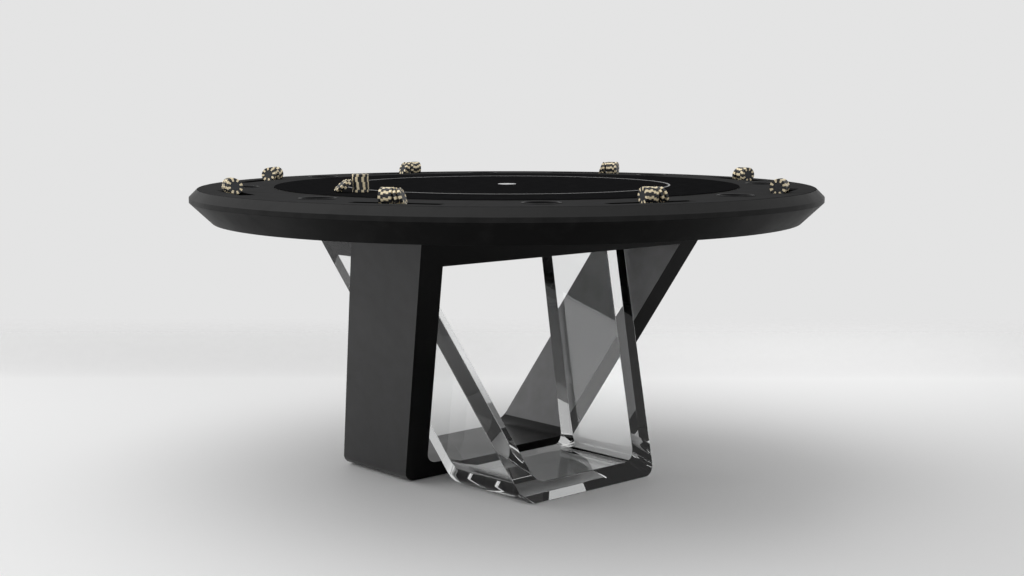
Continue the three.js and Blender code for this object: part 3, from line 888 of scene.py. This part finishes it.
def make_floor():
    """A pale floor that melts into the backdrop behind the table, as a studio's cove does."""
    floor = prism("floor", circle(FLOOR_RADIUS, 96), -20 * MM, -0.5 * MM)
    nodes = Nodes("pale_floor", (FLOOR_TONE,) * 3, 0.6)
    nodes.set(specular=0.1)
    depth = nodes.add("VectorMath", Vector=nodes.position)
    depth.operation = "DOT_PRODUCT"
    depth.inputs[1].default_value = AWAY
    behind = nodes.spread(depth.outputs["Value"], 1.0, 0.0, FADE_START, FADE_END)
    ball = nodes.add("TexGradient", Vector=nodes.stretched((1 / FLOOR_RADIUS,) * 3))
    ball.gradient_type = "SPHERICAL"
    around = nodes.spread(ball.outputs["Fac"], 0.0, 1.0, 0.02, 0.5)
    nodes.tree.links.new(nodes.math("MULTIPLY", behind, around), nodes.shader.inputs["Alpha"])
    floor.data.materials.append(nodes.material)


def make_world():
    """A lit backdrop round the horizon under a dimmer room."""
    world = bpy.data.worlds.new("studio")
    world.use_nodes = True
    tree = world.node_tree
    direction = tree.nodes.new("ShaderNodeTexCoord").outputs["Generated"]
    separate = tree.nodes.new("ShaderNodeSeparateXYZ")
    tree.links.new(direction, separate.inputs["Vector"])
    height = tree.nodes.new("ShaderNodeMapRange")
    height.interpolation_type = "SMOOTHSTEP"
    tree.links.new(separate.outputs["Z"], height.inputs["Value"])
    height.inputs["From Min"].default_value = BACKDROP_TOP
    height.inputs["From Max"].default_value = ROOM_LOW
    height.inputs["To Min"].default_value = BACKDROP
    height.inputs["To Max"].default_value = AMBIENT
    tree.links.new(height.outputs["Result"], tree.nodes["Background"].inputs["Strength"])
    tree.nodes["Background"].inputs["Color"].default_value = (1, 1, 1, 1)
    bpy.context.scene.world = world


def area_light(name, location, target, size, power, spread=180):
    data = bpy.data.lights.new(name, "AREA")
    data.spread = math.radians(spread)
    data.shape = "RECTANGLE"
    data.size, data.size_y = size
    data.energy = power
    light = bpy.data.objects.new(name, data)
    bpy.context.scene.collection.objects.link(light)
    light.location = location
    aim = Vector(target) - Vector(location)
    light.rotation_euler = aim.to_track_quat("-Z", "Y").to_euler()
    return light


def make_camera():
    data = bpy.data.cameras.new("camera")
    data.lens = CAMERA_LENS
    data.sensor_width = 36
    data.clip_end = 100
    camera = bpy.data.objects.new("camera", data)
    bpy.context.scene.collection.objects.link(camera)
    camera.location = CAMERA_PLACE
    camera.rotation_euler = (CAMERA_TILT, 0, -CAMERA_HEADING)
    bpy.context.scene.camera = camera


def make_lights():
    key = area_light("key", (-2.8, 3.3, 1.45), (0, 0, 0.5), (4.0, 2.8), 78)
    key.visible_glossy = False         # unlike a real lamp, it lights gloss without showing in it
    area_light("overhead", (-0.3, 0.6, 3.0), (0, 0, 0.7), (3.0, 3.0), 34)
    area_light("right_pool", (2.5, 0.9, 2.4), (2.3, 0.2, 0), (1.6, 1.6), 9, spread=100)
    area_light("left_pool", (-2.2, -0.6, 2.2), (-1.4, -1.3, 0), (1.6, 1.6), 5, spread=110)


make_floor()
make_world()
make_lights()
make_camera()
bpy.context.scene.view_settings.view_transform = "Standard"
